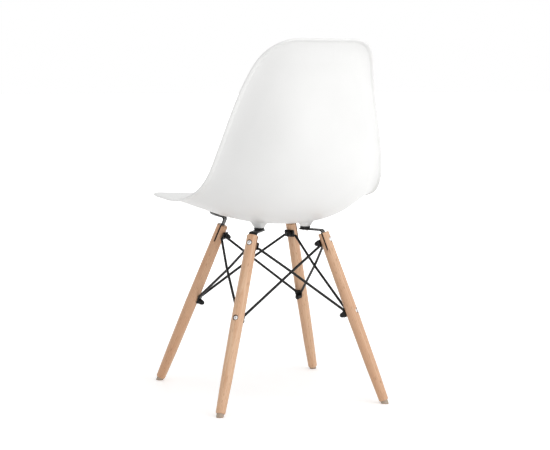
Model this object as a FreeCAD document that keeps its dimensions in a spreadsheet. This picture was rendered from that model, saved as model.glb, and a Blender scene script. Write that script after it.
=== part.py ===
import FreeCAD, Part
import math
import os

import Sketcher
from FreeCAD import Vector

# A moulded one-piece seat shell on four tapered beech legs with steel rod bracing.
# Millimetres and degrees. +Z is up, the chair faces -Y, the sitter's left is +X.
# The origin lies on the floor under the middle of the chair's overall box.

doc = FreeCAD.newDocument("shell_chair")
sheet = doc.addObject("Spreadsheet::Sheet", "sizes")

SIZES = {
    # Stance of the base
    "leg_top_spread": 173,
    "leg_top_depth": 182.6,
    "leg_top_height": 380.8,
    "leg_splay": 22.2,
    "leg_azimuth": 42.65,
    "base_forward": 19.6,
    # Turned legs, drops are measured from the top end along the leg
    "leg_top_diameter": 25.4,
    "leg_belly_diameter": 27.8,
    "leg_belly_drop": 205,
    "leg_ankle_diameter": 25.2,
    "leg_ankle_drop": 330,
    "leg_end_diameter": 21.6,
    "leg_end_chamfer": 1.2,
    "slit_depth": 40,
    "upper_bolt_drop": 19.2,
    "lower_bolt_drop": 191,
    # Clearances
    "fit_gap": 0.2,
    "thread_gap": 0.1,
    # Bolts through the legs, each with a domed nut inside the base
    "leg_bolt_diameter": 6,
    "leg_bolt_head_diameter": 10.8,
    "leg_bolt_head_height": 3,
    "leg_bolt_head_seat": 9.4,
    "leg_bolt_recess_diameter": 13,
    "leg_bolt_socket_flats": 4,
    "leg_bolt_socket_depth": 2.2,
    "nut_flats": 12,
    "nut_collar_height": 5,
    "nut_height": 13.4,
    "nut_thread_depth": 9,
    # Rod bracing
    "rod_diameter": 6,
    "rod_bend_radius": 80,
    "ear_thickness": 3.5,
    "ear_corner_radius": 2.5,
    "upper_ear_width": 24,
    "upper_ear_above": 7,
    "upper_ear_below": 10,
    "upper_rod_side": 14.5,
    "upper_rod_drop": 7.2,
    "lower_ear_foot_width": 13,
    "lower_ear_top_width": 20,
    "lower_ear_below": 6.5,
    "lower_ear_above": 14,
    "lower_rod_side": 8.9,
    "lower_rod_rise": 13.1,
    # Flat steel brackets, rises are measured from the leg tops to the plate's top
    "plate_thickness": 3,
    "plate_width": 20,
    "plate_bend_radius": 5,
    "plate_bend_spare": 1.5,
    "plate_slit_margin": 3,
    "rear_plate_rise": 7.3,
    "front_plate_rise": 22.3,
    "rear_mount_spread": 113.6,
    "rear_mount_back": 56.6,
    "rear_plate_overhang": 12,
    "rear_plate_corner_radius": 3,
    "front_mount_spread": 166,
    "front_mount_forward": 155,
    "front_elbow_forward": 105,
    # Seat fixings
    "seat_bolt_diameter": 8,
    "seat_bolt_flats": 13,
    "seat_bolt_head_height": 5.3,
    "seat_bolt_reach": 8,
    "washer_diameter": 16,
    "washer_thickness": 1.6,
    "spacer_diameter": 23,
    "spacer_thickness": 5,
    "insert_diameter": 11,
    "insert_length": 9,
    "insert_bore_spare": 1,
    "boss_flare": 35,
    # Foot glides
    "glide_height": 7.4,
    "glide_top_diameter": 17,
    "glide_foot_diameter": 15.6,
    "nail_diameter": 2.8,
    "nail_head_diameter": 6.4,
    "nail_head_thickness": 1,
    "nail_head_depth": 3,
    "nail_grip": 16,
    # Seat shell
    "shell_wall": 5,
    "front_corner_radius": 64,
    "top_corner_radius": 75,
    "section_floor": 0.584,
    "section_turn_out": 0.681,
    "section_turn_up": 0.521,
    "section_brim": 0.1,
}

# Stations along the middle of the shell, from the front lip to the top of the back:
# reach behind the base's centre, rise above the leg tops, half width, rise of the
# rim above the middle, tilt of the rim
STATION_SIZES = ("reach", "rise", "half_width", "rim_rise", "rim_tilt")
STATIONS = {
    "lip": (-231, 57.3, 221.5, 6, 0),
    "crest": (-203, 56.8, 219.5, 6, 2),
    "thigh": (-98, 41.8, 225, 23.5, 6.5),
    "seat": (32, 22.8, 229.5, 56.5, 8),
    "hip": (131, 36.3, 217, 79, 17),
    "bend": (199.5, 83.8, 208, 90, 23.5),
    "lumbar": (238, 178.3, 196, 89.5, 24.5),
    "back": (238.5, 301.3, 166, 61, 21),
    "shoulder": (250, 399.3, 130.5, 20, 13),
    "top": (270, 439.3, 115, -0.5, 8),
}
for station, values in STATIONS.items():
    for measure, value in zip(STATION_SIZES, values):
        SIZES[f"{station}_{measure}"] = value

for row, (alias, value) in enumerate(SIZES.items(), start=1):
    sheet.set(f"A{row}", alias)
    sheet.set(f"B{row}", str(value))
    sheet.setAlias(f"B{row}", alias)
doc.recompute()

# The corners of the base, counter-clockwise from above, with their signs in X and Y
CORNERS = {
    "rear_left": (1, 1),
    "rear_right": (-1, 1),
    "front_right": (-1, -1),
    "front_left": (1, -1),
}

parts = []


def size(alias):
    return sheet.get(alias)


def keep(thing, label):
    """Name a finished piece after its node and keep it for the output."""
    thing.Label = label
    parts.append(thing)
    return thing


# Expressions that several pieces share

LEG_RUN = "((sizes.leg_top_height - sizes.glide_height) / cos(sizes.leg_splay))"
BOLT_BORE = "(sizes.leg_bolt_diameter / 2 + sizes.fit_gap)"


def leg_radius(drop):
    """Radius of a leg at a drop between its top and its belly."""
    return (f"(sizes.leg_top_diameter / 2 + (sizes.leg_belly_diameter"
            f" - sizes.leg_top_diameter) / 2 * {drop} / sizes.leg_belly_drop)")


def placement(x, y, z, yaw="0", pitch="0"):
    return (f"create(<<placement>>; create(<<vector>>; {x}; {y}; {z});"
            f" create(<<rotation>>; {yaw}; {pitch}; 0))")


def on_leg(corner, out="0", up="0", pitch="-sizes.leg_splay"):
    """Placement in a leg's frame, X outward, Z up the leg, from its top end."""
    side, end = CORNERS[corner]
    yaw = f"({90 - 90 * side} + {side * end} * sizes.leg_azimuth)"
    run = f"(({out}) * cos(sizes.leg_splay) - ({up}) * sin(sizes.leg_splay))"
    height = (f"sizes.leg_top_height + ({out}) * sin(sizes.leg_splay)"
              f" + ({up}) * cos(sizes.leg_splay)")
    return placement(f"{side} * sizes.leg_top_spread / 2 + {run} * cos({yaw})",
                     f"{end} * sizes.leg_top_depth / 2 + {run} * sin({yaw})"
                     " - sizes.base_forward",
                     height, yaw, pitch)


def is_rear(corner):
    return CORNERS[corner][1] > 0


def seat_mount(corner):
    """How far a seat fixing stands beside and before or behind the base's centre."""
    if is_rear(corner):
        return "(sizes.rear_mount_spread / 2)", "sizes.rear_mount_back"
    return "(sizes.front_mount_spread / 2)", "sizes.front_mount_forward"


def plate_rise(corner):
    return "sizes.rear_plate_rise" if is_rear(corner) else "sizes.front_plate_rise"


def under_seat(corner, above="0"):
    """Placement on a seat fixing's upright axis, from the bracket's top."""
    side, end = CORNERS[corner]
    beside, along = seat_mount(corner)
    return placement(f"{side} * {beside}", f"{end} * {along} - sizes.base_forward",
                     f"sizes.leg_top_height + {plate_rise(corner)} + ({above})")


# Sketches and features

def new_body(name):
    return doc.addObject("PartDesign::Body", name)


def new_sketch(body, role, lift=None, attachment=None):
    """Sketch on an origin plane, lifted along its normal or freely offset."""
    sketch = body.newObject("Sketcher::SketchObject", f"{body.Name}_sketch")
    planes = body.Origin.OriginFeatures
    sketch.AttachmentSupport = [(next(p for p in planes if p.Role == role), "")]
    sketch.MapMode = "FlatFace"
    if lift is not None:
        attachment = placement(0, 0, lift)
    if attachment is not None:
        sketch.setExpression("AttachmentOffset", attachment)
    return sketch


def number(thing, expression):
    return float(thing.evalExpression(str(expression)))


def bind(sketch, kind, element, point, expression):
    """Hold a point's distance from the sketch origin at an expression."""
    value = number(sketch, expression)
    index = sketch.addConstraint(Sketcher.Constraint(kind, element, point, value))
    sketch.setExpression(f"Constraints[{index}]", str(expression))


def add_outline(sketch, corners):
    """Closed outline of straight edges through corners given as expressions."""
    points = [Vector(number(sketch, x), number(sketch, y), 0) for x, y in corners]
    ends = points[1:] + points[:1]
    edges = [sketch.addGeometry(Part.LineSegment(a, b)) for a, b in zip(points, ends)]
    for edge, following, (x, y) in zip(edges, edges[1:] + edges[:1], corners):
        sketch.addConstraint(Sketcher.Constraint("Coincident", edge, 2, following, 1))
        bind(sketch, "DistanceX", edge, 1, x)
        bind(sketch, "DistanceY", edge, 1, y)


def add_circle(sketch, x, y, radius):
    centre = Vector(number(sketch, x), number(sketch, y), 0)
    value = number(sketch, radius)
    circle = sketch.addGeometry(Part.Circle(centre, Vector(0, 0, 1), value))
    bind(sketch, "DistanceX", circle, 3, x)
    bind(sketch, "DistanceY", circle, 3, y)
    index = sketch.addConstraint(Sketcher.Constraint("Radius", circle, value))
    sketch.setExpression(f"Constraints[{index}]", str(radius))


def add_hexagon(sketch, flats):
    """Hexagon about the sketch origin, by its width across flats."""
    add_outline(sketch, [(f"{flats} / sqrt(3) * cos({angle})",
                          f"{flats} / sqrt(3) * sin({angle})")
                         for angle in range(0, 360, 60)])


def turn(body, sketch):
    """Solid of revolution about the sketch's upright axis."""
    feature = body.newObject("PartDesign::Revolution", f"{body.Name}_turned")
    feature.Profile = sketch
    feature.ReferenceAxis = (sketch, ["V_Axis"])
    feature.Angle = 360
    return feature


def pad(body, sketch, length, side="One side", reverse=False):
    feature = body.newObject("PartDesign::Pad", f"{body.Name}_pad")
    feature.Profile = sketch
    feature.SideType = side
    feature.Reversed = reverse
    feature.setExpression("Length", str(length))
    return feature


def pocket(body, sketch, length=None, side="One side", reverse=False):
    """Pocket to a depth, or through everything; it must take material away."""
    doc.recompute()
    before = body.Shape.Volume
    feature = body.newObject("PartDesign::Pocket", f"{body.Name}_pocket")
    feature.Profile = sketch
    feature.SideType = side
    feature.Reversed = reverse
    if length is None:
        feature.Type = "ThroughAll"
    else:
        feature.setExpression("Length", str(length))
    doc.recompute()
    if not feature.Shape.Volume < before:
        raise ValueError(f"{feature.Label} takes nothing away")
    return feature


def round_edges(body, radius, wanted):
    """Fillet the edges of the body's tip that the test picks out."""
    doc.recompute()
    base = body.Tip
    names = [f"Edge{k}" for k, edge in enumerate(base.Shape.Edges, 1) if wanted(edge)]
    feature = body.newObject("PartDesign::Fillet", f"{body.Name}_fillet")
    feature.Base = (base, names)
    feature.setExpression("Radius", radius)
    return feature


def runs_along(edge, axis):
    """Whether an edge is straight and parallel to an axis."""
    first, last = edge.Vertexes[0].Point, edge.Vertexes[-1].Point
    run = last - first
    return edge.Curve.TypeId == "Part::GeomLine" and run.cross(axis).Length < 1e-6


def copies(body, label, placements):
    """One node of identical pieces, with a copy of the body at each placement."""
    links = []
    for count, expression in enumerate(placements, start=1):
        link = doc.addObject("App::Link", f"{label}_{count}")
        link.LinkedObject = body
        link.setExpression("Placement", expression)
        links.append(link)
    group = doc.addObject("Part::Compound", f"{label}_group")
    group.Links = links
    return keep(group, label)


# Legs: turned, slit at the top, with two cross bores and a nail bore

def make_leg(corner):
    body = new_body(f"leg_{corner}")
    profile = new_sketch(body, "XZ_Plane")
    chamfer = "sizes.leg_end_chamfer"
    top = "sizes.leg_top_diameter / 2"
    end = "sizes.leg_end_diameter / 2"
    add_outline(profile, [
        ("0", "0"),
        (f"{top} - {chamfer}", "0"),
        (top, f"-{chamfer}"),
        ("sizes.leg_belly_diameter / 2", "-sizes.leg_belly_drop"),
        ("sizes.leg_ankle_diameter / 2", "-sizes.leg_ankle_drop"),
        (end, f"{chamfer} - {LEG_RUN}"),
        (f"{end} - {chamfer}", f"-{LEG_RUN}"),
        ("0", f"-{LEG_RUN}"),
    ])
    turn(body, profile)

    slit = new_sketch(body, "XZ_Plane")
    half = "(sizes.plate_thickness / 2 + sizes.fit_gap)"
    add_outline(slit, [
        (f"-{half}", "-sizes.slit_depth"),
        (half, "-sizes.slit_depth"),
        (half, "sizes.slit_depth"),
        (f"-{half}", "sizes.slit_depth"),
    ])
    pocket(body, slit, side="Symmetric")

    bores = new_sketch(body, "YZ_Plane")
    recesses = new_sketch(body, "YZ_Plane", lift="sizes.leg_bolt_head_seat")
    recess = "sizes.leg_bolt_recess_diameter / 2"
    for drop in ("-sizes.upper_bolt_drop", "-sizes.lower_bolt_drop"):
        add_circle(bores, "0", drop, BOLT_BORE)
        add_circle(recesses, "0", drop, recess)
    pocket(body, bores, side="Symmetric")
    pocket(body, recesses, reverse=True)

    nail = new_sketch(body, "XY_Plane", lift=f"-{LEG_RUN}")
    add_circle(nail, "0", "0", "sizes.nail_diameter / 2 + sizes.thread_gap")
    pocket(body, nail, "sizes.nail_grip + sizes.fit_gap", reverse=True)
    body.setExpression("Placement", on_leg(corner))
    return keep(body, f"leg_{corner}")


for corner in CORNERS:
    make_leg(corner)


# Bolts through the legs: head up, the underside of the head at the origin

def make_leg_bolt(name, drop):
    """Domed bolt with a hex socket, long enough to fill its nut's thread."""
    body = new_body(name)
    reach = (f"(sizes.leg_bolt_head_seat + {leg_radius(drop)} + sizes.ear_thickness"
             f" + sizes.nut_thread_depth)")
    shank = "sizes.leg_bolt_diameter / 2"
    head = "sizes.leg_bolt_head_diameter / 2"
    height = "sizes.leg_bolt_head_height"
    profile = new_sketch(body, "XZ_Plane")
    add_outline(profile, [
        ("0", f"-{reach}"),
        (f"{shank} - sizes.fit_gap * 3", f"-{reach}"),
        (shank, f"sizes.fit_gap * 3 - {reach}"),
        (shank, "0"),
        (head, "0"),
        (head, f"{height} * 0.4"),
        (f"{head} * 0.88", f"{height} * 0.75"),
        (f"{head} * 0.66", height),
        ("0", height),
    ])
    turn(body, profile)
    socket = new_sketch(body, "XY_Plane", lift=height)
    add_hexagon(socket, "sizes.leg_bolt_socket_flats")
    pocket(body, socket, "sizes.leg_bolt_socket_depth")
    return body


def make_cap_nut():
    """Hexagon collar under a low dome with a blind thread, seat at the origin."""
    body = new_body("cap_nut")
    collar = new_sketch(body, "XY_Plane")
    add_hexagon(collar, "sizes.nut_flats")
    pad(body, collar, "sizes.nut_collar_height")
    dome = new_sketch(body, "XZ_Plane")
    radius = "sizes.nut_flats / 2"
    foot = "sizes.nut_collar_height"
    rise = "(sizes.nut_height - sizes.nut_collar_height)"
    bow = [(f"{radius} * cos({angle})", f"{foot} + {rise} * sin({angle})")
           for angle in range(0, 90, 15)]
    add_outline(dome, [
        ("0", f"{foot} / 2"),
        (radius, f"{foot} / 2"),
        *bow,
        ("0", "sizes.nut_height"),
    ])
    turn(body, dome)
    thread = new_sketch(body, "XY_Plane")
    add_circle(thread, "0", "0", "sizes.leg_bolt_diameter / 2 + sizes.thread_gap")
    pocket(body, thread, "sizes.nut_thread_depth", reverse=True)
    return body


cap_nut = make_cap_nut()
for level in ("upper", "lower"):
    drop = f"sizes.{level}_bolt_drop"
    bolt = make_leg_bolt(f"{level}_leg_bolt", drop)
    copies(bolt, f"leg_bolts_{level}", [
        on_leg(corner, "sizes.leg_bolt_head_seat", f"-{drop}", "90 - sizes.leg_splay")
        for corner in CORNERS])
    nut_seat = f"-({leg_radius(drop)} + sizes.fit_gap + sizes.ear_thickness)"
    copies(cap_nut, f"cap_nuts_{level}", [
        on_leg(corner, nut_seat, f"-{drop}", "-90 - sizes.leg_splay")
        for corner in CORNERS])


# Brackets: a tongue in the leg's slit, folded level and carried to the seat fixing

def make_bracket(corner):
    """Folded plate in the leg's frame; level sketches lie at the plate's top."""
    body = new_body(f"bracket_{corner}")
    rise = plate_rise(corner)
    lean = "sizes.leg_splay"
    thick = "sizes.plate_thickness"
    half_width = "(sizes.plate_width / 2)"
    side, end = CORNERS[corner]
    hand = side * end
    way = -end

    def plan(x, y):
        """Level sketch expressions of a point beside and before or behind the centre."""
        beside = f"({x} - sizes.leg_top_spread / 2)"
        along = f"({y} - sizes.leg_top_depth / 2)"
        return (f"({beside} * cos(sizes.leg_azimuth) + {along} * sin(sizes.leg_azimuth))",
                f"({hand} * ({along} * cos(sizes.leg_azimuth)"
                f" - {beside} * sin(sizes.leg_azimuth)))")

    # Side view: tongue and the level run up to the end of the fold
    inner_x = f"({way} * {thick} / 2)"
    outer_x = f"({-way} * {thick} / 2)"
    inner_z = f"(({rise} - {thick} - {inner_x} * sin({lean})) / cos({lean}))"
    outer_z = f"(({rise} - {outer_x} * sin({lean})) / cos({lean}))"
    knee = f"({inner_x} * cos({lean}) - {inner_z} * sin({lean}))"
    tangent = f"(sizes.plate_bend_radius * tan((90 + {way} * {lean}) / 2))"
    far = f"({knee} + {way} * ({tangent} + sizes.plate_bend_spare))"
    foot = "(sizes.plate_slit_margin - sizes.slit_depth)"

    def level_point(height):
        """Side view expressions of the level run's end at a height from the leg top."""
        return (f"{far} * cos({lean}) + ({height}) * sin({lean})",
                f"({height}) * cos({lean}) - {far} * sin({lean})")

    profile = new_sketch(body, "XZ_Plane")
    add_outline(profile, [
        (outer_x, foot),
        (inner_x, foot),
        (inner_x, inner_z),
        level_point(f"{rise} - {thick}"),
        level_point(rise),
        (outer_x, outer_z),
    ])
    pad(body, profile, "sizes.plate_width", side="Symmetric")
    across = Vector(0, 1, 0)
    knees = [(number(sheet, inner_x), number(sheet, inner_z)),
             (number(sheet, outer_x), number(sheet, outer_z))]
    for (x, z), radius in zip(knees, ("sizes.plate_bend_radius",
                                      f"sizes.plate_bend_radius + {thick}")):
        corner_at = Vector(x, 0, z)
        round_edges(body, radius, lambda edge: runs_along(edge, across)
                    and (edge.CenterOfMass - corner_at).Length < 0.01)

    # Level arm to the seat fixing, drawn from above with X outward from the leg's top
    level = placement(f"{rise} * sin({lean})", 0, f"{rise} * cos({lean})", 0, lean)
    mount = plan(*seat_mount(corner))
    arm = new_sketch(body, "XY_Plane", attachment=level)
    if is_rear(corner):
        tip = f"({mount[0]} - sizes.rear_plate_overhang)"
        add_outline(arm, [
            (far, half_width),
            (tip, f"({mount[1]} + {half_width})"),
            (tip, f"({mount[1]} - {half_width})"),
            (far, f"-{half_width}"),
        ])
        pad(body, arm, thick, reverse=True)
        tip_at = number(sheet, tip)
        upright = Vector(math.sin(math.radians(size("leg_splay"))), 0,
                         math.cos(math.radians(size("leg_splay"))))
        to_tip = Vector(upright.z, 0, -upright.x)
        round_edges(body, "sizes.rear_plate_corner_radius",
                    lambda edge: runs_along(edge, upright)
                    and abs(edge.CenterOfMass.dot(to_tip) - tip_at) < 0.01)
    else:
        elbow_x = "sizes.leg_top_spread / 2"
        elbow_y = "sizes.front_elbow_forward"
        mount_x, mount_y = seat_mount(corner)
        add_outline(arm, [
            (far, f"{-hand} * {half_width}"),
            plan(f"({elbow_x} + {half_width})", elbow_y),
            plan(f"({mount_x} + {half_width})", mount_y),
            plan(f"({mount_x} - {half_width})", mount_y),
            plan(f"({elbow_x} - {half_width})", elbow_y),
            (far, f"{hand} * {half_width}"),
        ])
        pad(body, arm, thick, reverse=True)
        end_round = new_sketch(body, "XY_Plane", attachment=level)
        add_circle(end_round, *mount, half_width)
        pad(body, end_round, thick, reverse=True)
    hole = new_sketch(body, "XY_Plane", attachment=level)
    add_circle(hole, *mount, "sizes.seat_bolt_diameter / 2 + sizes.fit_gap")
    pocket(body, hole, f"{thick} + sizes.fit_gap")
    cross = new_sketch(body, "YZ_Plane")
    add_circle(cross, "0", "-sizes.upper_bolt_drop", BOLT_BORE)
    pocket(body, cross, f"{thick} * 2", side="Symmetric")
    body.setExpression("Placement", on_leg(corner))
    return keep(body, f"bracket_{corner}")


for corner in CORNERS:
    make_bracket(corner)


# Seat fixings: bolt, washer, rubber spacer and threaded insert on each upright axis

def make_ring(name, outer, inner, height, chamfer="0"):
    """Turned ring standing on the origin, its outer corners chamfered."""
    body = new_body(name)
    profile = new_sketch(body, "XZ_Plane")
    add_outline(profile, [
        (inner, "0"),
        (f"{outer} - {chamfer}", "0"),
        (outer, chamfer),
        (outer, f"{height} - {chamfer}"),
        (f"{outer} - {chamfer}", height),
        (inner, height),
    ])
    turn(body, profile)
    return body


SEAT_BORE = "(sizes.seat_bolt_diameter / 2 + sizes.fit_gap)"

for corner in CORNERS:
    spacer = make_ring(f"rubber_spacer_{corner}", "sizes.spacer_diameter / 2",
                       SEAT_BORE, "sizes.spacer_thickness", "sizes.fit_gap * 2")
    spacer.setExpression("Placement", under_seat(corner))
    keep(spacer, f"rubber_spacer_{corner}")

washer = make_ring("washer", "sizes.washer_diameter / 2", SEAT_BORE,
                   "sizes.washer_thickness", "sizes.thread_gap * 2")
copies(washer, "seat_washers", [
    under_seat(corner, "-sizes.plate_thickness - sizes.washer_thickness")
    for corner in CORNERS])

insert = make_ring("insert", "sizes.insert_diameter / 2",
                   "sizes.seat_bolt_diameter / 2 + sizes.thread_gap",
                   "sizes.insert_length", "sizes.fit_gap * 2")
copies(insert, "threaded_inserts", [
    under_seat(corner, "sizes.spacer_thickness") for corner in CORNERS])

seat_bolt = new_body("seat_bolt")
head = new_sketch(seat_bolt, "XY_Plane")
add_hexagon(head, "sizes.seat_bolt_flats")
pad(seat_bolt, head, "sizes.seat_bolt_head_height", reverse=True)
shank = new_sketch(seat_bolt, "XY_Plane")
add_circle(shank, "0", "0", "sizes.seat_bolt_diameter / 2")
pad(seat_bolt, shank, "sizes.washer_thickness + sizes.plate_thickness"
    " + sizes.spacer_thickness + sizes.seat_bolt_reach")
copies(seat_bolt, "seat_bolts", [
    under_seat(corner, "-sizes.plate_thickness - sizes.washer_thickness")
    for corner in CORNERS])


# Foot glides: a plastic foot moulded round a nail, cut level at the floor

def make_glide(corner):
    body = new_body(f"foot_glide_{corner}")
    nail = "(sizes.nail_diameter / 2 + sizes.thread_gap)"
    head = "(sizes.nail_head_diameter / 2 + sizes.thread_gap)"
    seat = "sizes.nail_head_depth"
    under = "(sizes.nail_head_depth + sizes.nail_head_thickness + sizes.thread_gap)"
    foot = "(sizes.glide_height * 2)"
    profile = new_sketch(body, "XZ_Plane")
    add_outline(profile, [
        (nail, f"-{LEG_RUN}"),
        (nail, f"-{seat} - {LEG_RUN}"),
        (head, f"-{seat} - {LEG_RUN}"),
        (head, f"-{under} - {LEG_RUN}"),
        ("0", f"-{under} - {LEG_RUN}"),
        ("0", f"-{foot} - {LEG_RUN}"),
        ("sizes.glide_foot_diameter / 2", f"-{foot} - {LEG_RUN}"),
        ("sizes.glide_top_diameter / 2", f"-{LEG_RUN}"),
    ])
    turn(body, profile)
    lean = "sizes.leg_splay"
    floor = new_sketch(body, "XY_Plane", attachment=placement(
        f"-sizes.leg_top_height * sin({lean})", 0,
        f"-sizes.leg_top_height * cos({lean})", 0, lean))
    add_circle(floor, f"sizes.leg_top_height * tan({lean})", "0",
               "sizes.glide_top_diameter * 2")
    pocket(body, floor)
    body.setExpression("Placement", on_leg(corner))
    return keep(body, f"foot_glide_{corner}")


for corner in CORNERS:
    make_glide(corner)

nail = new_body("nail")
nail_profile = new_sketch(nail, "XZ_Plane")
add_outline(nail_profile, [
    ("0", "-sizes.nail_head_depth - sizes.nail_head_thickness"),
    ("sizes.nail_head_diameter / 2", "-sizes.nail_head_depth - sizes.nail_head_thickness"),
    ("sizes.nail_head_diameter / 2", "-sizes.nail_head_depth"),
    ("sizes.nail_diameter / 2", "-sizes.nail_head_depth"),
    ("sizes.nail_diameter / 2", "sizes.nail_grip - sizes.nail_diameter"),
    ("0", "sizes.nail_grip"),
])
turn(nail, nail_profile)
copies(nail, "glide_nails", [on_leg(corner, "0", f"-{LEG_RUN}") for corner in CORNERS])


# Bracing: two zigzag loops, each of four rods welded to four bolted ears, and named
# after the front leg that the loop meets at the top

def make_ear(name, corner, drop, corners):
    """Flat ear against the inner side of a leg, with the bolt's hole."""
    body = new_body(name)
    side = f"-({leg_radius(drop)} + sizes.fit_gap)"
    outline = new_sketch(body, "YZ_Plane", lift=side)
    add_outline(outline, corners)
    pad(body, outline, "sizes.ear_thickness", reverse=True)
    along = Vector(1, 0, 0)
    round_edges(body, "sizes.ear_corner_radius", lambda edge: runs_along(edge, along))
    hole = new_sketch(body, "YZ_Plane", lift=side)
    add_circle(hole, "0", f"-{drop}", BOLT_BORE)
    pocket(body, hole)
    body.setExpression("Placement", on_leg(corner))
    return body


def upper_ear(name, corner):
    drop = "sizes.upper_bolt_drop"
    half = "sizes.upper_ear_width / 2"
    low = f"-{drop} - sizes.upper_ear_below"
    high = f"-{drop} + sizes.upper_ear_above"
    return make_ear(name, corner, drop, [(f"-{half}", low), (half, low),
                                         (half, high), (f"-{half}", high)])


def lower_ear(name, corner):
    drop = "sizes.lower_bolt_drop"
    foot = "sizes.lower_ear_foot_width / 2"
    top = "sizes.lower_ear_top_width / 2"
    low = f"-{drop} - sizes.lower_ear_below"
    high = f"-{drop} + sizes.lower_ear_above"
    return make_ear(name, corner, drop, [(f"-{foot}", low), (foot, low),
                                         (top, high), (f"-{top}", high)])


def rod_end(corner, level, side):
    """Where a rod's centre line meets an ear, half way through the ear."""
    drop = size(f"{level}_bolt_drop")
    out = -(number(sheet, leg_radius(drop)) + size("fit_gap") + size("ear_thickness") / 2)
    up = -size("upper_rod_drop") if level == "upper" else size("lower_rod_rise")
    leg_frame = sheet.evalExpression(on_leg(corner))
    return leg_frame.multVec(Vector(out, side * size(f"{level}_rod_side"), up - drop))


def make_rod(high_corner, low_corner):
    """Rod from an upper ear down to the next leg's lower ear, bowed at mid-face.

    On the sides the rods from the front left and rear right ears pass outside
    the others, on the front and rear they pass inside.
    """
    names = list(CORNERS)
    side = 1 if (names.index(low_corner) - names.index(high_corner)) % 4 == 1 else -1
    start = rod_end(high_corner, "upper", side)
    finish = rod_end(low_corner, "lower", -side)
    ends = zip(CORNERS[high_corner], CORNERS[low_corner])
    outward = Vector(*[(a + b) / 2 for a, b in ends], 0)
    across = Vector(-outward.y, outward.x, 0)
    centre = Vector(0, -size("base_forward"), 0)
    run = finish - start
    crossing = start + run * ((centre - start).dot(across) / run.dot(across))
    normal = run.cross(across)
    normal.normalize()
    if normal.dot(outward) < 0:
        normal = -normal
    high_side, high_end = CORNERS[high_corner]
    bow = high_side * high_end * (1 if outward.x == 0 else -1)
    knee = crossing + normal * (bow * (size("rod_diameter") + size("fit_gap")) / 2)

    first = (knee - start).normalize()
    last = (finish - knee).normalize()
    bend = first.getAngle(last) / 2
    radius = size("rod_bend_radius")
    tangent = radius * math.tan(bend)
    inward = (last - first).normalize()
    arc_start = knee - first * tangent
    arc_middle = knee + inward * (radius / math.cos(bend) - radius)
    arc_finish = knee + last * tangent
    path = Part.Wire([
        Part.makeLine(start, arc_start),
        Part.Arc(arc_start, arc_middle, arc_finish).toShape(),
        Part.makeLine(arc_finish, finish),
    ])
    half = size("rod_diameter") / 2
    section = Part.Wire(Part.makeCircle(half, start, first))
    rod = path.makePipeShell([section], True, True)
    return rod.fuse([Part.makeSphere(half, start), Part.makeSphere(half, finish)])


def make_brace(label, high_corners):
    """One loop: rods zigzag between the upper ears and the other lower ears."""
    low_corners = [corner for corner in CORNERS if corner not in high_corners]
    rods = [make_rod(high, low) for high in high_corners for low in low_corners]
    loop = doc.addObject("Part::Feature", f"{label}_rods")
    loop.Shape = Part.Compound(rods)
    ears = [upper_ear(f"{label}_ear_{corner}", corner) for corner in high_corners]
    ears += [lower_ear(f"{label}_ear_{corner}", corner) for corner in low_corners]
    doc.recompute()
    brace = doc.addObject("Part::MultiFuse", f"{label}_welded")
    brace.Shapes = [loop] + ears
    return keep(brace, label)


make_brace("brace_front_left", ("front_left", "rear_right"))
make_brace("brace_front_right", ("front_right", "rear_left"))


# Seat shell: a curved middle surface given an even wall, a round rim and four bosses

def station_curve(measures, along):
    """Curve through up to three measures of every station."""
    rows = [[size(f"{station}_{measure}") for measure in measures]
            for station in STATIONS]
    points = [Vector(*row, *[0] * (3 - len(row))) for row in rows]
    curve = Part.BSplineCurve()
    curve.interpolate(Points=points, Parameters=along)
    return curve


def middle_line():
    """Arc-length shares of the stations, and the whole length between them."""
    points = [Vector(size(f"{station}_reach"), size(f"{station}_rise"), 0)
              for station in STATIONS]
    along = [0]
    for first, last in zip(points, points[1:]):
        along.append(along[-1] + (last - first).Length)
    return [share / along[-1] for share in along], along[-1]


ALONG, SHELL_RUN = middle_line()
SPINE = station_curve(("reach", "rise"), ALONG)
SPREAD = station_curve(("half_width", "rim_rise", "rim_tilt"), ALONG)
FRONT_CORNER = size("front_corner_radius")
TOP_CORNER = size("top_corner_radius")

# Finest step between wall surfaces that are sewn together, in millimetres
SEAM = 0.02

# Where the wall is sampled, a little past its outline on every side, and the part
# of it that the bosses can reach
WALL_RUNS = (-0.02, 1.02, 61)
WALL_ACROSSES = (-1.04, 1.04, 41)
BOSS_RUNS = (0.04, 0.44, 19)
BOSS_ACROSSES = (-0.6, 0.6, 13)


def middle_point(run, across):
    """Point of the middle surface; run goes 0 to 1 to the top, across -1 to 1."""
    spine = SPINE.value(run)
    heading = SPINE.tangent(min(max(run, 0), 1))[0]
    half_width, rise, tilt = SPREAD.value(run)
    brim = size("section_brim")
    brim_out = 1 - brim * math.cos(math.radians(tilt))
    brim_up = rise - brim * half_width * math.sin(math.radians(tilt))
    k = abs(across)
    j = 1 - k
    out = half_width * (4 * size("section_floor") * k * j ** 3
                        + 6 * size("section_turn_out") * k ** 2 * j ** 2
                        + 4 * brim_out * k ** 3 * j + k ** 4)
    up = (6 * size("section_turn_up") * rise * k ** 2 * j ** 2
          + 4 * brim_up * k ** 3 * j + rise * k ** 4)
    return Vector(math.copysign(out, across),
                  spine.x - heading.y * up - size("base_forward"),
                  size("leg_top_height") + spine.y + heading.x * up)


def middle_normal(run, across):
    """Unit normal of the middle surface, into the seat."""
    step = 0.001
    lengthwise = middle_point(run + step, across) - middle_point(run - step, across)
    crosswise = middle_point(run, across + step) - middle_point(run, across - step)
    return crosswise.cross(lengthwise).normalize()


def spread_evenly(first, last, count):
    return [first + (last - first) * k / (count - 1) for k in range(count)]


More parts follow.
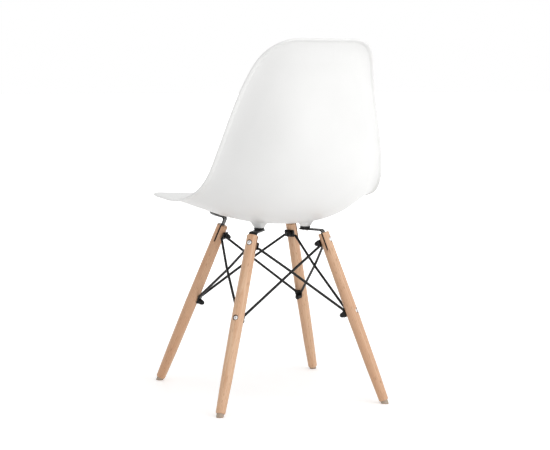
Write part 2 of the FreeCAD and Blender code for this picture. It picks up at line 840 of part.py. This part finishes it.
def interpolated_surface(rows, runs, acrosses):
    """Smooth surface through rows of points at the given parameters."""
    across_curves = []
    for row in rows:
        curve = Part.BSplineCurve()
        curve.interpolate(Points=row, Parameters=acrosses)
        across_curves.append(curve)
    run_curves = []
    for poles in zip(*[curve.getPoles() for curve in across_curves]):
        curve = Part.BSplineCurve()
        curve.interpolate(Points=list(poles), Parameters=runs)
        run_curves.append(curve)
    pole_rows = zip(*[curve.getPoles() for curve in run_curves])
    surface = Part.BSplineSurface()
    surface.buildFromPolesMultsKnots(
        [list(row) for row in pole_rows],
        run_curves[0].getMultiplicities(), across_curves[0].getMultiplicities(),
        run_curves[0].getKnots(), across_curves[0].getKnots(), False, False, 3, 3)
    return surface


def offset_surface(distance, runs, acrosses):
    """Surface at a distance from the middle surface."""
    rows = [[middle_point(run, across) + middle_normal(run, across) * distance
             for across in acrosses] for run in runs]
    return interpolated_surface(rows, runs, acrosses)


def half_outline():
    """Outline on the +X side from front middle to top middle, as run and across."""
    front_reach = FRONT_CORNER / SHELL_RUN
    top_reach = TOP_CORNER / SHELL_RUN
    front_inset = FRONT_CORNER / size("lip_half_width")
    top_inset = TOP_CORNER / size("top_half_width")
    corner = [math.radians(angle) for angle in spread_evenly(0, 90, 21)]
    outline = [(0, across) for across in spread_evenly(0, 1 - front_inset, 25)]
    outline += [(front_reach * (1 - math.cos(angle)),
                 1 - front_inset * (1 - math.sin(angle))) for angle in corner[1:]]
    outline += [(run, 1) for run in spread_evenly(front_reach, 1 - top_reach, 90)[1:]]
    outline += [(1 - top_reach * (1 - math.sin(angle)),
                 1 - top_inset * (1 - math.cos(angle))) for angle in corner[1:]]
    outline += [(1, across) for across in spread_evenly(1 - top_inset, 0, 9)[1:]]
    return outline


def rim_band(inner, outer, outline, side, shares):
    """Half-round band between the edges of the two wall surfaces on one side."""
    edges = [(inner.value(run, side * across), outer.value(run, side * across))
             for run, across in outline]
    middle = Part.BSplineCurve()
    middle.interpolate(Points=[(a + b) / 2 for a, b in edges], Parameters=shares)
    angles = spread_evenly(0, math.pi, 9)
    rows = []
    for (a, b), share in zip(edges, shares):
        through = (a - b) / 2
        outward = middle.tangent(share)[0].cross(through) * side
        rows.append([(a + b) / 2 + through * math.cos(angle)
                     + outward * math.sin(angle) for angle in angles])
    return interpolated_surface(rows, shares, [angle / math.pi for angle in angles])


def outlined_face(surface, edges):
    """Face of a surface inside the loop of two edges."""
    face = Part.Face(surface, Part.Wire(Part.sortEdges(edges)[0]))
    face.validate()
    return face


def shell_wall():
    """The moulded wall as one closed solid."""
    outline = half_outline()
    middle = [middle_point(run, across) for run, across in outline]
    lengths = [0]
    for first, last in zip(middle, middle[1:]):
        lengths.append(lengths[-1] + (last - first).Length)
    shares = [length / lengths[-1] for length in lengths]
    runs = spread_evenly(*WALL_RUNS)
    acrosses = spread_evenly(*WALL_ACROSSES)
    half = size("shell_wall") / 2
    inner = offset_surface(half, runs, acrosses)
    outer = offset_surface(-half, runs, acrosses)
    bands = [rim_band(inner, outer, outline, side, shares) for side in (1, -1)]
    faces = [band.toShape() for band in bands]
    faces.append(outlined_face(inner, [band.vIso(0).toShape() for band in bands]))
    faces.append(outlined_face(outer, [band.vIso(1).toShape() for band in bands]))
    skin = Part.Compound(faces)
    skin.sewShape(SEAM)
    wall = Part.Solid(skin.Shells[0])
    if wall.Volume < 0:
        wall.reverse()
    return wall


def seat_boss(corner, room):
    """Conical boss from a spacer up into the wall, and the bore for its insert."""
    foot = sheet.evalExpression(under_seat(corner, "sizes.spacer_thickness")).Base
    radius = size("spacer_diameter") / 2
    height = room.BoundBox.ZMax - foot.z
    flare = height * math.tan(math.radians(size("boss_flare")))
    boss = Part.makeCone(radius, radius + flare, height, foot).common(room)
    bore = Part.makeCylinder(size("insert_diameter") / 2,
                             size("insert_length") + size("insert_bore_spare"), foot)
    return boss, bore


def make_shell():
    """The wall with its bosses, bored for the inserts."""
    patch = offset_surface(0, spread_evenly(*BOSS_RUNS), spread_evenly(*BOSS_ACROSSES))
    room = patch.toShape().extrude(Vector(0, 0, -size("leg_top_height")))
    bosses, bores = zip(*[seat_boss(corner, room) for corner in CORNERS])
    shell = doc.addObject("Part::Feature", "seat_shell")
    shell.Shape = shell_wall().fuse(bosses).cut(bores)
    return keep(shell, "seat_shell")


make_shell()
doc.recompute()

# Every piece must be sound before it is written
for thing in doc.Objects:
    if "Invalid" in thing.State or "Error" in thing.State:
        raise ValueError(f"{thing.Label} did not build")
os.makedirs("parts", exist_ok=True)
for thing in parts:
    if thing.Shape.isNull() or not thing.Shape.isValid() or not thing.Shape.Solids:
        raise ValueError(f"{thing.Label} has no sound solid")
    thing.Shape.exportStep(f"parts/{thing.Label}.step")
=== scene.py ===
import bmesh
import bpy
import math
from mathutils import Matrix, Vector
from mathutils.bvhtree import BVHTree


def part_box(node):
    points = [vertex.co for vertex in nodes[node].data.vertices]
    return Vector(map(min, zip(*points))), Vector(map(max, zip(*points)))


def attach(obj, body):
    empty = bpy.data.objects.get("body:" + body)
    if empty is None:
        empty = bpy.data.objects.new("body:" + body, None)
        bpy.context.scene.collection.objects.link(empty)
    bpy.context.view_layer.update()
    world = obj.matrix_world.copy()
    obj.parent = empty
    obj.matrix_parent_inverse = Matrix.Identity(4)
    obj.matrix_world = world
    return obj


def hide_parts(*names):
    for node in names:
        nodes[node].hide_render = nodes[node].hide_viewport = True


# A moulded plastic shell chair on beech dowels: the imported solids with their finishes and
# the shell with its brim, in a plain studio seen from behind the sitter's left shoulder.
# Metres, +Z up, the sitter facing -Y.

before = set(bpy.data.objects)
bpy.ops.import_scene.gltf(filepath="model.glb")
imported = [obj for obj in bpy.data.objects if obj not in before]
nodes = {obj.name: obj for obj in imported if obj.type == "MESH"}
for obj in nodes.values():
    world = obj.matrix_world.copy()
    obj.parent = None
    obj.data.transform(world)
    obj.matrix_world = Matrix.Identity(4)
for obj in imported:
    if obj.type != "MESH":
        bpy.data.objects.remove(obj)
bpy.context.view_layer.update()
scene = bpy.context.scene

# Signs of each leg's place across and along the chair
CORNERS = {"rear_left": (1, 1), "rear_right": (-1, 1), "front_right": (-1, -1),
           "front_left": (1, -1)}

# Base, repeated from the part's own sizes: lean of the legs, its direction from above in
# degrees, place of a leg's top from the base's middle, and that middle's shift forward
LEG_SPLAY = math.radians(22.2)
LEG_AZIMUTH = 42.65
LEG_TOP = Vector((0.0865, 0.0913, 0.3808))
BASE_FORWARD = 0.0196

# A leg: its radius at the top and at the belly, then heights along it from its top, of the
# belly, of the lowest reach of its bores and of the slit's end
LEG_RADII = (0.0127, 0.0139)
LEG_BELLY = -0.205
LEG_BORED = -0.199
SLIT_END = -0.0406

# Painted shade in the bores: how deep under the turned surface it begins and is full, the
# heights between which the end face takes over, and how fast it fades below the bores
BORE_SHADE_DEPTH = (0.0003, 0.0008)
END_FACE = (-0.0008, -0.0002)
BORED_FADE = 0.001
# Painted shade in the slit and on its edges: its edge from the slit's middle, and its fade
SLIT_SHADE_EDGE = 0.0017
SLIT_SHADE_FADE = 0.0006

# Growth rings: place of their middle from the leg's axis, its shift from leg to leg, rings
# to the metre and how much they sway
PITH = (0.034, 0.012)
PITH_SHIFT = 0.004
RINGS = 330
RING_SWAY = 3.2
# Shift along the figure of the wood from leg to leg
FIGURE_SHIFT = 7.3
# How strongly the rings, flecks, and the painted shade in the bores and in the slit show
RING_SHARE = 0.55
FLECK_SHARE = 0.5
BORE_SHADE_SHARE = 0.85
SLIT_SHADE_SHARE = 0.85
# Height of a fleck's dent as a share of a fibre's
FLECK_DENT = 0.6

# Height of the plastic's grain as a share of its wave's, how far round a point of the zinc
# other metal shuts it in for its painted shade, and how high above the floor glides darken
GRAIN_SHARE = 0.12
ZINC_SHADE_REACH = 0.0025
DARK_BAND_HEIGHT = 0.004

# Radius round a boss of the shell, least depth of plastic behind its round edge, and how
# far under the surface that depth is measured from
BOSS_REACH = 0.035
EDGE_DEPTH = 0.009
UNDER_SKIN = 0.0001

# The brim: depth of the step behind it, where the step lies from the round edge, where it
# has faded out, the reach over which its slope is taken, and the finest grid of the wall
# there with the most rounds of division to reach it
BRIM_STEP = 0.0028
BRIM_SLOPE = (0.0042, 0.0100)
BRIM_FADE = (0.014, 0.06)
SLOPE_REACH = 0.0002
BRIM_GRID = 0.004
BRIM_ROUNDS = 5
# A place above the seat, which only the sitter's side of the wall faces
SITTER = Vector((0, -0.08, 0.66))

# Studio: light of the sky on the chair, the floor's reach, and its glow to the camera
# between two distances from the chair
WORLD_LEVEL = 0.68
FLOOR_REACH = 12.0
FLOOR_GLOW = (0.3, 0.9)
GLOW_REACH = (0.5, 2.5)
WHITE = (1, 1, 1, 1)

# Softboxes, aimed at the middle of the chair: place, side of the square, and watts
LAMP_TARGET = Vector((0, 0, 0.5))
SOFTBOXES = {"front": ((-1.0, 3.6, 1.5), 1.6, 26),
             "side": ((-2.6, 2.2, 2.0), 1.4, 17),
             "top": ((-0.2, 0.5, 3.2), 2.4, 11)}

# Camera where the photograph was taken from: place, direction and roll in metres and
# radians, lens and sensor in millimetres, and the nearest and farthest that it sees
CAMERA_PLACE = Vector((1.53907, 3.57952 - BASE_FORWARD, 0.89599))
CAMERA_AHEAD = Vector((-0.3930976, -0.91041998, -0.12887874))
CAMERA_ROLL = math.radians(1.04)
CAMERA_LENS = 112.14
CAMERA_SENSOR = 36
CAMERA_CLIP = (0.1, 60)


# Node trees

class Tree:
    """Short way to add shader nodes to a new material, or to the world."""

    def __init__(self, name, world=None):
        self.owner = world or bpy.data.materials.new(name)
        self.owner.use_nodes = True
        self.nodes = self.owner.node_tree.nodes
        self.links = self.owner.node_tree.links
        self.shader = self.nodes.get("Principled BSDF")

    def add(self, kind, inputs=None, **settings):
        node = self.nodes.new(kind)
        for key, value in settings.items():
            setattr(node, key, value)
        for key, value in (inputs or {}).items():
            self.feed(node.inputs[key], value)
        return node

    def feed(self, socket, value):
        if isinstance(value, bpy.types.NodeSocket):
            self.links.new(value, socket)
        else:
            socket.default_value = value

    def set(self, **values):
        """Feed the shader's sockets, named with _ for a space."""
        for key, value in values.items():
            self.feed(self.shader.inputs[key.replace("_", " ")], value)

    def place(self):
        return self.add("ShaderNodeTexCoord").outputs["Object"]

    def split(self, vector):
        return self.add("ShaderNodeSeparateXYZ", {"Vector": vector}).outputs

    def math(self, operation, first, second=0.0, clamp=False):
        node = self.add("ShaderNodeMath", operation=operation, use_clamp=clamp)
        self.feed(node.inputs[0], first)
        self.feed(node.inputs[1], second)
        return node.outputs[0]

    def radius(self, first, second):
        """Distance from an axis, from the two lengths square to it."""
        return self.math("SQRT", self.math("ADD", self.math("POWER", first, 2),
                                           self.math("POWER", second, 2)))

    def noise(self, vector, scale, detail, roughness=0.5):
        node = self.add("ShaderNodeTexNoise", {
            "Vector": vector, "Scale": scale, "Detail": detail, "Roughness": roughness})
        return node.outputs["Fac"]

    def ramp(self, factor, *stops):
        """Colour ramp through stops of position and colour."""
        node = self.add("ShaderNodeValToRGB", {"Fac": factor})
        marks = node.color_ramp.elements
        while len(marks) < len(stops):
            marks.new(0.5)
        for mark, (position, colour) in zip(marks, stops):
            mark.position = position
            mark.color = colour
        return node.outputs["Color"]

    def spread(self, value, to=(0.0, 1.0), within=(0.0, 1.0)):
        """Value within one range spread over another, and held at its ends."""
        node = self.add("ShaderNodeMapRange", {
            "Value": value, "From Min": within[0], "From Max": within[1],
            "To Min": to[0], "To Max": to[1]})
        return node.outputs["Result"]

    def mix(self, factor, first, second, blend="MIX"):
        """Mix of two colours, which are the node's inputs 6 and 7 and its output 2."""
        node = self.add("ShaderNodeMix", data_type="RGBA", blend_type=blend)
        self.feed(node.inputs["Factor"], factor)
        self.feed(node.inputs[6], first)
        self.feed(node.inputs[7], second)
        return node.outputs[2]

    def bump(self, height, strength, distance):
        node = self.add("ShaderNodeBump", {
            "Height": height, "Strength": strength, "Distance": distance})
        self.feed(self.shader.inputs["Normal"], node.outputs["Normal"])


def rgb(*levels):
    """Opaque linear colour from display levels of 0 to 255."""
    def linear(level):
        share = level / 255
        if share <= 0.04045:
            return share / 12.92
        return ((share + 0.055) / 1.055) ** 2.4
    return (*(linear(level) for level in levels), 1)


# Finishes

def white_plastic():
    """Moulded plastic with a soft sheen, fine grain and a slight wave."""
    tree = Tree("white_plastic")
    place = tree.place()
    cloud = tree.noise(place, scale=9, detail=3)
    grain = tree.noise(place, scale=900, detail=2, roughness=0.6)
    wave = tree.noise(place, scale=5, detail=1)
    tree.set(Base_Color=tree.ramp(cloud, (0.3, rgb(240, 240, 239)),
                                  (0.7, rgb(243, 243, 242))),
             Roughness=tree.spread(cloud, to=(0.34, 0.42)), IOR=1.49,
             Subsurface_Weight=0.06, Subsurface_Scale=0.004, Subsurface_Radius=(1, 1, 1))
    height = tree.math("ADD", tree.math("MULTIPLY", grain, GRAIN_SHARE), wave)
    tree.bump(height, strength=0.25, distance=0.0004)
    return tree.owner


def leg_turn(side, end):
    """Turn from the chair's axes to a leg's: out from the chair, round it, up the leg."""
    yaw = math.radians(90 - 90 * side + side * end * LEG_AZIMUTH)
    outward = Vector((math.cos(yaw), math.sin(yaw), 0))
    out = outward * math.cos(LEG_SPLAY) + Vector((0, 0, math.sin(LEG_SPLAY)))
    up = -outward * math.sin(LEG_SPLAY) + Vector((0, 0, math.cos(LEG_SPLAY)))
    return Matrix((out, up.cross(out), up))


def bore_and_slit_shade(tree, x, y, z):
    """Painted shade in the leg's bores and slit: 1 inside them, less on the slit's edges."""
    skin = tree.spread(z, to=LEG_RADII, within=(0, LEG_BELLY))
    depth = tree.math("SUBTRACT", skin, tree.radius(x, y))
    inside = tree.math("SUBTRACT", tree.spread(depth, within=BORE_SHADE_DEPTH),
                       tree.spread(z, within=END_FACE), clamp=True)
    bored = tree.spread(z, within=(LEG_BORED - BORED_FADE, LEG_BORED))
    beside = tree.spread(tree.math("ABSOLUTE", x), to=(1, 0),
                         within=(SLIT_SHADE_EDGE, SLIT_SHADE_EDGE + SLIT_SHADE_FADE))
    slit_shade = tree.math("MULTIPLY", beside,
                     tree.spread(z, within=(SLIT_END - SLIT_SHADE_FADE, SLIT_END)))
    return tree.math("MAXIMUM", tree.math("MULTIPLY", bored, inside),
                     tree.math("MULTIPLY", slit_shade, SLIT_SHADE_SHARE))


def beech(corner):
    """Lacquered beech with its grain along one leg."""
    tree = Tree(f"beech_{corner}")
    side, end = CORNERS[corner]
    seed = 2.0 * side + end
    turn = leg_turn(side, end)
    top = Vector((side * LEG_TOP.x, end * LEG_TOP.y - BASE_FORWARD, LEG_TOP.z))
    in_leg = tree.add("ShaderNodeMapping", {
        "Vector": tree.place(), "Location": -(turn @ top),
        "Rotation": turn.to_euler("XYZ")}).outputs[0]
    x, y, z = tree.split(in_leg)

    def figure(across, along, shift, detail, roughness=0.5):
        """Noise drawn out along the grain, different on every leg."""
        drawn_out = tree.add("ShaderNodeMapping", {
            "Vector": in_leg, "Scale": (across, across, along),
            "Location": (shift, 0, seed * FIGURE_SHIFT)}).outputs[0]
        return tree.noise(drawn_out, 1, detail, roughness)

    from_pith = tree.radius(tree.math("ADD", x, PITH[0] + seed * PITH_SHIFT),
                            tree.math("ADD", y, PITH[1]))
    sway = figure(across=30, along=5, shift=0, detail=2)
    ring = tree.math("FRACT", tree.math("ADD", tree.math("MULTIPLY", from_pith, RINGS),
                                        tree.math("MULTIPLY", sway, RING_SWAY)))
    tone = figure(across=45, along=3, shift=2, detail=3)
    fibre = figure(across=420, along=14, shift=5, detail=3, roughness=0.6)
    fleck = tree.spread(figure(across=520, along=75, shift=9, detail=1), within=(0.63, 0.7))

    wood = tree.ramp(tone, (0.3, rgb(212, 167, 132)), (0.7, rgb(230, 194, 161)))
    ring_tone = tree.ramp(ring, (0.0, rgb(238, 220, 205)), (0.75, WHITE),
                          (0.97, rgb(226, 202, 182)))
    wood = tree.mix(RING_SHARE, wood, ring_tone, "MULTIPLY")
    wood = tree.mix(tree.spread(fibre, to=(0, 0.35), within=(0.35, 0.75)), wood,
                    rgb(196, 148, 110))
    wood = tree.mix(tree.math("MULTIPLY", fleck, FLECK_SHARE), wood, rgb(158, 108, 74))
    # Painted shade in the bores and the slit, in dark brown
    wood = tree.mix(tree.math("MULTIPLY", bore_and_slit_shade(tree, x, y, z), BORE_SHADE_SHARE), wood,
                    rgb(112, 70, 44))
    tree.set(Base_Color=wood, IOR=1.5, Coat_Weight=0.15, Coat_Roughness=0.25,
             Roughness=tree.spread(fibre, to=(0.38, 0.52), within=(0.3, 0.7)))
    height = tree.math("SUBTRACT", fibre, tree.math("MULTIPLY", fleck, FLECK_DENT))
    tree.bump(height, strength=0.3, distance=0.0003)
    return tree.owner


def black_steel():
    """Satin black powder coat, a little rubbed in patches."""
    tree = Tree("black_steel")
    place = tree.place()
    peel = tree.noise(place, scale=700, detail=2, roughness=0.6)
    patch = tree.noise(place, scale=60, detail=3)
    worn = tree.spread(patch, within=(0.6, 0.8))
    tree.set(Base_Color=tree.mix(worn, rgb(9, 9, 9), rgb(19, 18, 18)), IOR=1.5,
             Roughness=tree.spread(patch, to=(0.28, 0.42)), Specular_IOR_Level=0.26)
    tree.bump(peel, strength=0.2, distance=0.0002)
    return tree.owner


def black_rubber():
    """Dull rubber with dust in its pores."""
    tree = Tree("black_rubber")
    dust = tree.noise(tree.place(), scale=240, detail=4, roughness=0.65)
    tree.set(Base_Color=tree.ramp(dust, (0.35, rgb(13, 13, 13)), (0.75, rgb(27, 26, 26))),
             Roughness=tree.spread(dust, to=(0.68, 0.85)), IOR=1.5)
    tree.bump(dust, strength=0.3, distance=0.0002)
    return tree.owner


def zinc_steel():
    """Bright plated steel, with painted shade where it is shut in, as in a bolt's socket."""
    tree = Tree("zinc_steel")
    place = tree.place()
    spangle = tree.noise(place, scale=500, detail=3)
    fine = tree.noise(place, scale=2600, detail=2)
    open_air = tree.add("ShaderNodeAmbientOcclusion", {"Distance": ZINC_SHADE_REACH},
                        samples=8).outputs["AO"]
    bright = tree.ramp(spangle, (0.3, rgb(222, 222, 224)), (0.7, rgb(242, 242, 242)))
    # Painted shade, near black, where the zinc is shut in, as in a bolt's socket
    tree.set(Base_Color=tree.mix(tree.spread(open_air, within=(0.38, 0.62)),
                                 rgb(30, 27, 26), bright),
             Metallic=1.0, Roughness=tree.spread(spangle, to=(0.2, 0.34)))
    tree.bump(fine, strength=0.12, distance=0.0001)
    return tree.owner


def brass():
    """Slightly tarnished brass."""
    tree = Tree("brass")
    tarnish = tree.noise(tree.place(), scale=320, detail=4)
    tree.set(Base_Color=tree.ramp(tarnish, (0.3, rgb(176, 136, 66)),
                                  (0.7, rgb(214, 180, 104))),
             Metallic=1.0, Roughness=tree.spread(tarnish, to=(0.24, 0.4)))
    tree.bump(tarnish, strength=0.15, distance=0.0001)
    return tree.owner


def grey_plastic():
    """Milky glides, scuffed, and darker in patches within a few millimetres of the floor."""
    tree = Tree("grey_plastic")
    place = tree.place()
    scuff = tree.noise(place, scale=420, detail=4, roughness=0.6)
    low = tree.spread(tree.split(place)[2], to=(1, 0), within=(0, DARK_BAND_HEIGHT))
    darker_low = tree.math("MULTIPLY", low,
                     tree.spread(scuff, to=(0, 0.6), within=(0.35, 0.65)))
    tree.set(Base_Color=tree.mix(darker_low, rgb(178, 160, 142), rgb(120, 106, 94)),
             Roughness=tree.spread(scuff, to=(0.4, 0.6)), IOR=1.5,
             Subsurface_Weight=0.25, Subsurface_Scale=0.003)
    tree.bump(scuff, strength=0.2, distance=0.0002)
    return tree.owner


# Pieces

def finish(piece, material):
    """Give every slot of a piece the material."""
    for slot in piece.material_slots:
        slot.material = material


def add_object(name, data):
    """New object in the scene for a mesh, lamp or camera."""
    thing = bpy.data.objects.new(name, data)
    scene.collection.objects.link(thing)
    return thing


def smooth_share(value, low, high):
    """0 up to low, 1 from high, and a smooth rise between."""
    share = min(max((value - low) / (high - low), 0), 1)
    return share * share * (3 - 2 * share)


def step_behind_brim(away):
    """How far the back of the wall lies in, at a distance from the round edge."""
    return BRIM_STEP * (smooth_share(away, *BRIM_SLOPE) * (1 - smooth_share(away, *BRIM_FADE)))


def slope_behind_brim(away):
    """How steeply the back of the wall goes in, at a distance from the round edge."""
    deeper = step_behind_brim(away + SLOPE_REACH) - step_behind_brim(away - SLOPE_REACH)
    return deeper / (2 * SLOPE_REACH)


def round_edge(mesh):
    """Tree of the faces at the outermost line of the shell's round edge."""
    points = [vertex.co.copy() for vertex in mesh.vertices]
    faces = [tuple(face.vertices) for face in mesh.polygons]
    wall = BVHTree.FromPolygons(points, faces)
    bosses = [(Vector(low) + Vector(high)) / 2 for low, high in
              (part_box(f"rubber_spacer_{corner}") for corner in CORNERS)]

    def on_edge(face):
        if any((face.center - boss).to_2d().length < BOSS_REACH for boss in bosses):
            return False
        under_skin = face.center - face.normal * UNDER_SKIN
        *_, depth = wall.ray_cast(under_skin, -face.normal)
        return depth is not None and depth > EDGE_DEPTH

    return BVHTree.FromPolygons(points, [faces[face.index] for face in mesh.polygons
                                         if on_edge(face)])


def mean_normals(mesh):
    """Mean of the normals round each vertex."""
    totals = [Vector() for _ in mesh.vertices]
    for corner, normal in zip(mesh.loops, mesh.corner_normals):
        totals[corner.vertex_index] += normal.vector
    return [total.normalized() for total in totals]


def divide_near(form, edge):
    """Divide the wall near the round edge. Returns each vertex's nearest place on the edge
    and the distance to it."""
    def place_and_distance(vert):
        place, _, _, away = edge.find_nearest(vert.co)
        return place, away

    nearest = {vert: place_and_distance(vert) for vert in form.verts}
    for _ in range(BRIM_ROUNDS):
        long_lines = [line for line in form.edges if line.calc_length() > BRIM_GRID
                      and min(nearest[vert][1] for vert in line.verts) < BRIM_FADE[1]]
        if not long_lines:
            break
        bmesh.ops.subdivide_edges(form, edges=long_lines, cuts=1)
        bmesh.ops.triangulate(form, faces=[face for face in form.faces
                                           if len(face.verts) > 3])
        for vert in form.verts:
            if vert not in nearest:
                nearest[vert] = place_and_distance(vert)
    return nearest


def set_in(vert, normal, place, away):
    """Set a vertex of the wall's back in behind the brim. Returns the normal there."""
    if away >= BRIM_FADE[1] or normal.dot(SITTER - vert.co) >= 0:
        return normal
    from_edge = vert.co - place
    from_edge -= normal * from_edge.dot(normal)
    vert.co -= normal * step_behind_brim(away)
    return (normal + from_edge.normalized() * slope_behind_brim(away)).normalized()


def shell_with_brim():
    """The shell with its brim: behind the round edge the back of the wall steps in."""
    mesh = nodes["seat_shell"].data.copy()
    mesh.name = "moulded_shell"
    edge = round_edge(mesh)
    form = bmesh.new()
    form.from_mesh(mesh)
    smooth = form.verts.layers.float_vector.new("smooth_normal")
    for vert, normal in zip(form.verts, mean_normals(mesh)):
        vert[smooth] = normal
    nearest = divide_near(form, edge)
    normals = [set_in(vert, vert[smooth].normalized(), *nearest[vert])
               for vert in form.verts]
    form.to_mesh(mesh)
    form.free()
    for face in mesh.polygons:
        face.use_smooth = True
    mesh.normals_split_custom_set_from_vertices(normals)
    shell = add_object("moulded_shell", mesh)
    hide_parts("seat_shell")
    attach(shell, "root")
    return shell


def dress_chair():
    """Give every node its finish, and the shell its brim."""
    plastic, steel, rubber = white_plastic(), black_steel(), black_rubber()
    zinc, milky = zinc_steel(), grey_plastic()
    finishes = {
        "seat_shell": plastic, "threaded_inserts": brass(),
        "brace_front_left": steel, "brace_front_right": steel,
        "cap_nuts_upper": steel, "cap_nuts_lower": steel,
        "leg_bolts_upper": zinc, "leg_bolts_lower": zinc,
        "seat_bolts": zinc, "seat_washers": zinc, "glide_nails": zinc}
    for corner in CORNERS:
        finishes[f"leg_{corner}"] = beech(corner)
        finishes[f"bracket_{corner}"] = steel
        finishes[f"rubber_spacer_{corner}"] = rubber
        finishes[f"foot_glide_{corner}"] = milky
    for node, material in finishes.items():
        finish(nodes[node], material)
    finish(shell_with_brim(), plastic)


# Studio: a pale floor under a pale sky, both white to the camera

def to_the_eye(tree):
    """1 for rays from the camera or off gloss, 0 for the light that falls on the chair."""
    rays = tree.add("ShaderNodeLightPath").outputs
    return tree.math("MAXIMUM", tree.math("MAXIMUM", rays["Is Camera Ray"],
                                          rays["Is Glossy Ray"]), rays["Is Transmission Ray"])


def pale_floor():
    """Flat floor that keeps the chair's shadow and glows to the camera."""
    mesh = bpy.data.meshes.new("floor")
    reach = FLOOR_REACH
    mesh.from_pydata([(-reach, -reach, 0), (reach, -reach, 0), (reach, reach, 0),
                      (-reach, reach, 0)], [], [(0, 1, 2, 3)])
    tree = Tree("floor")
    place = tree.place()
    speckle = tree.noise(place, scale=140, detail=3)
    away = tree.add("ShaderNodeVectorMath", {0: place}, operation="LENGTH").outputs["Value"]
    glow = tree.spread(away, to=FLOOR_GLOW, within=GLOW_REACH)
    tree.set(Base_Color=tree.ramp(speckle, (0.3, rgb(246, 246, 246)),
                                  (0.7, rgb(249, 249, 249))),
             Roughness=0.7, Emission_Color=WHITE,
             Emission_Strength=tree.math("MULTIPLY", glow, to_the_eye(tree)))
    mesh.materials.append(tree.owner)
    floor = add_object("floor", mesh)


def pale_sky():
    """Even light from all round."""
    scene.world = bpy.data.worlds.new("studio")
    tree = Tree("studio", scene.world)
    background = tree.nodes["Background"]
    tree.feed(background.inputs["Strength"],
              tree.spread(to_the_eye(tree), to=(WORLD_LEVEL, 1.0)))
    tree.feed(background.inputs["Color"], WHITE)


def softbox(name, place, width, watts):
    """Square lamp aimed at the middle of the chair."""
    light = bpy.data.lights.new(name, "AREA")
    light.shape = "RECTANGLE"
    light.size = width
    light.size_y = width
    light.energy = watts
    lamp = add_object(name, light)
    lamp.location = place
    aim = LAMP_TARGET - Vector(place)
    lamp.rotation_euler = aim.to_track_quat("-Z", "Y").to_euler()


def photo_camera():
    """Camera level with the photograph's, then rolled as it was."""
    data = bpy.data.cameras.new("photo")
    data.sensor_fit = "HORIZONTAL"
    data.sensor_width = CAMERA_SENSOR
    data.lens = CAMERA_LENS
    data.clip_start, data.clip_end = CAMERA_CLIP
    camera = add_object("photo", data)
    ahead = CAMERA_AHEAD.normalized()
    level = ahead.cross(Vector((0, 0, 1))).normalized()
    rise = level.cross(ahead)
    right = math.cos(CAMERA_ROLL) * level + math.sin(CAMERA_ROLL) * rise
    up = math.cos(CAMERA_ROLL) * rise - math.sin(CAMERA_ROLL) * level
    camera.matrix_world = Matrix.Translation(CAMERA_PLACE) @ Matrix(
        (right, up, -ahead)).transposed().to_4x4()
    scene.camera = camera


dress_chair()
pale_floor()
pale_sky()
for name, (place, width, watts) in SOFTBOXES.items():
    softbox(name, place, width, watts)
photo_camera()
scene.view_settings.view_transform = "Standard"
